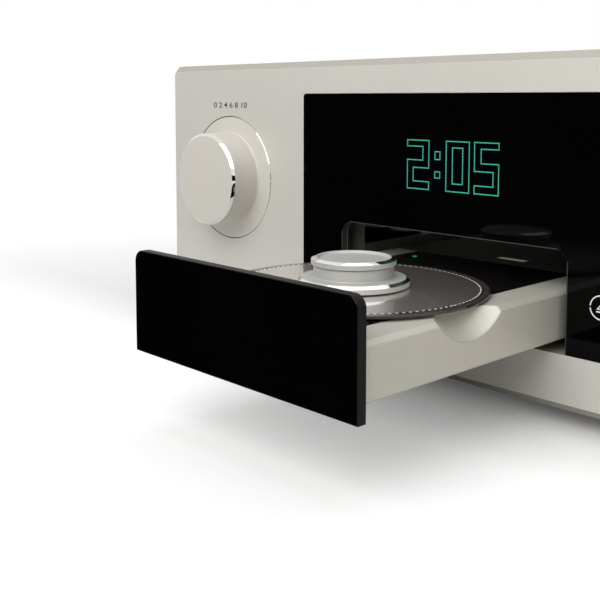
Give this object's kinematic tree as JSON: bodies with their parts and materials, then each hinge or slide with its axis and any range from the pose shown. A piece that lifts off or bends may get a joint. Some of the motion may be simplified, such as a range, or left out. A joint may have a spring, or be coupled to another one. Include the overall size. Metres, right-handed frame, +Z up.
{
  "type": "cd transport",
  "caption": "Disc player with an open powered drawer, a disc held by a lift-off puck, two push-and-turn knobs and a black front glass.",
  "frame": {"origin": "centre of the whole object on the floor, with the drawer open", "axes": "+X to the right seen from the front, +Y to the back, +Z up"},
  "size_m": [0.45, 0.5202, 0.168],
  "materials": {
    "fascia_panel": "fine matte blasted and anodised",
    "knob_left": "matte with a polished bevel",
    "knob_right": "matte with a polished bevel",
    "front_glass": "high gloss black",
    "drawer_front": "gloss black face with satin edges",
    "display_screen": "dot matrix behind the glass",
    "display_board": "fibreglass board",
    "main_board": "fibreglass board",
    "encoder_left": "satin",
    "encoder_right": "satin",
    "push_sleeve_left": "turned",
    "push_sleeve_right": "turned",
    "knob_shaft_left": "ground",
    "knob_shaft_right": "ground",
    "spindle_shaft": "ground",
    "sled_rods": "ground",
    "lead_screw": "ground",
    "side_panel_left": "fine matte anodised",
    "side_panel_right": "fine matte anodised",
    "top_cover": "fine matte anodised",
    "base_plate": "fine matte black",
    "rear_panel": "fine matte black",
    "tray_frame": "zinc plated",
    "case_screws": "black oxide",
    "feet": "satin turned",
    "foot_pads": "matte",
    "frame_dampers": "matte",
    "drive_grommets": "matte",
    "drive_belt": "matte",
    "puck_pad": "matte",
    "tray_body": "machined satin",
    "tray_plate": "gloss black",
    "tray_lamp": "glowing green lens",
    "sensor_window": "smoked lens",
    "tray_bottom_cover": "matte black",
    "tray_runner_left": "moulded acetal",
    "tray_runner_right": "moulded acetal",
    "guide_rail_left": "moulded acetal",
    "guide_rail_right": "moulded acetal",
    "tray_rack": "moulded acetal",
    "pinion_gear": "moulded acetal",
    "pulley_gear": "moulded acetal",
    "disc": "mirror with fine tracks",
    "puck": "satin turned with polished bevels",
    "puck_magnet": "plated",
    "turntable": "satin",
    "spindle_motor": "drawn can",
    "loading_motor": "drawn can",
    "sled_motor": "drawn can",
    "drive_plate": "pressed sheet",
    "pickup_sled": "glass filled",
    "pickup_lens": "coated lens",
    "motor_pulley": "turned",
    "transformer": "potted ring in a can",
    "capacitors": "sleeved cans",
    "mains_inlet": "moulded",
    "power_rocker": "moulded",
    "coax_sockets": "gold plated",
    "balanced_socket": "nickel plated",
    "data_sockets": "plated shells"
  },
  "bodies": {
    "chassis": {"fascia_panel": "fascia_panel", "front_glass": "front_glass", "display_screen": "display_screen", "display_board": "display_board", "main_board": "main_board", "encoder_left": "encoder_left", "encoder_right": "encoder_right", "side_panel_left": "side_panel_left", "side_panel_right": "side_panel_right", "top_cover": "top_cover", "base_plate": "base_plate", "rear_panel": "rear_panel", "tray_frame": "tray_frame", "case_screws": "case_screws", "feet": "feet", "foot_pads": "foot_pads", "frame_dampers": "frame_dampers", "drive_belt": "drive_belt", "guide_rail_left": "guide_rail_left", "guide_rail_right": "guide_rail_right", "loading_motor": "loading_motor", "transformer": "transformer", "capacitors": "capacitors", "mains_inlet": "mains_inlet", "coax_sockets": "coax_sockets", "balanced_socket": "balanced_socket", "data_sockets": "data_sockets"},
    "drawer": {"drawer_front": "drawer_front", "tray_body": "tray_body", "tray_plate": "tray_plate", "tray_lamp": "tray_lamp", "sensor_window": "sensor_window", "tray_bottom_cover": "tray_bottom_cover", "tray_runner_left": "tray_runner_left", "tray_runner_right": "tray_runner_right", "tray_rack": "tray_rack", "drive_plate": "drive_plate", "drive_grommets": "drive_grommets", "spindle_motor": "spindle_motor", "sled_rods": "sled_rods", "sled_motor": "sled_motor"},
    "spindle": {"spindle_shaft": "spindle_shaft", "turntable": "turntable"},
    "sled": {"pickup_sled": "pickup_sled", "pickup_lens": "pickup_lens"},
    "screw": {"lead_screw": "lead_screw"},
    "disc_body": {"disc": "disc"},
    "clamp": {"puck": "puck", "puck_magnet": "puck_magnet", "puck_pad": "puck_pad"},
    "push_left": {"push_sleeve_left": "push_sleeve_left"},
    "push_right": {"push_sleeve_right": "push_sleeve_right"},
    "turn_left": {"knob_left": "knob_left", "knob_shaft_left": "knob_shaft_left"},
    "turn_right": {"knob_right": "knob_right", "knob_shaft_right": "knob_shaft_right"},
    "pinion": {"pinion_gear": "pinion_gear"},
    "pulley": {"pulley_gear": "pulley_gear"},
    "motor_shaft": {"motor_pulley": "motor_pulley"},
    "rocker": {"power_rocker": "power_rocker"}
  },
  "joints": [
    {"name": "drawer_slide", "type": "slide", "parent": "chassis", "child": "drawer", "axis": [0, -1, 0], "range_m": [-0.1333, 0]},
    {"name": "disc_spin", "type": "hinge", "parent": "drawer", "child": "spindle", "pos_m": [0, -0.19035, 0.0633], "axis": [0, 0, 1], "continuous": true},
    {"name": "disc_lift", "type": "slide", "parent": "spindle", "child": "disc_body", "axis": [0, 0, 1], "range_m": [0, 0.03]},
    {"name": "puck_lift", "type": "slide", "parent": "disc_body", "child": "clamp", "axis": [0, 0, 1], "range_m": [0, 0.025]},
    {"name": "sled_slide", "type": "slide", "parent": "drawer", "child": "sled", "axis": [0, 1, 0], "range_m": [0, 0.031]},
    {"name": "screw_turn", "type": "hinge", "parent": "drawer", "child": "screw", "pos_m": [0.031, -0.12685, 0.0495], "axis": [0, 1, 0], "range_deg": [0, 3721]},
    {"name": "pinion_turn", "type": "hinge", "parent": "chassis", "child": "pinion", "pos_m": [-0.028, -0.08685, 0.035], "axis": [0, 0, 1], "range_deg": [-764, 0]},
    {"name": "pulley_turn", "type": "hinge", "parent": "chassis", "child": "pulley", "pos_m": [-0.0077, -0.07946, 0.032], "axis": [0, 0, 1], "range_deg": [0, 1528]},
    {"name": "motor_turn", "type": "hinge", "parent": "chassis", "child": "motor_shaft", "pos_m": [0.038, -0.06685, 0.028], "axis": [0, 0, 1], "range_deg": [0, 4583]},
    {"name": "left_push", "type": "slide", "parent": "chassis", "child": "push_left", "axis": [0, 1, 0], "range_m": [0, 0.0015], "stiffness_N_per_m": 600, "springref_m": -0.004},
    {"name": "left_turn", "type": "hinge", "parent": "push_left", "child": "turn_left", "pos_m": [-0.1645, -0.12685, 0.0987], "axis": [0, -1, 0], "continuous": true},
    {"name": "right_push", "type": "slide", "parent": "chassis", "child": "push_right", "axis": [0, 1, 0], "range_m": [0, 0.0015], "stiffness_N_per_m": 600, "springref_m": -0.004},
    {"name": "right_turn", "type": "hinge", "parent": "push_right", "child": "turn_right", "pos_m": [0.1645, -0.12685, 0.0987], "axis": [0, -1, 0], "continuous": true},
    {"name": "power_tilt", "type": "hinge", "parent": "chassis", "child": "rocker", "pos_m": [-0.149, 0.24915, 0.051], "axis": [1, 0, 0], "range_deg": [0, 20]}
  ],
  "couplings": [
    {"joint": "pinion_turn", "follows": "drawer_slide", "rad_per_m": 100},
    {"joint": "pulley_turn", "follows": "drawer_slide", "rad_per_m": -200},
    {"joint": "motor_turn", "follows": "drawer_slide", "rad_per_m": -600},
    {"joint": "screw_turn", "follows": "sled_slide", "rad_per_m": 2094.4}
  ]
}
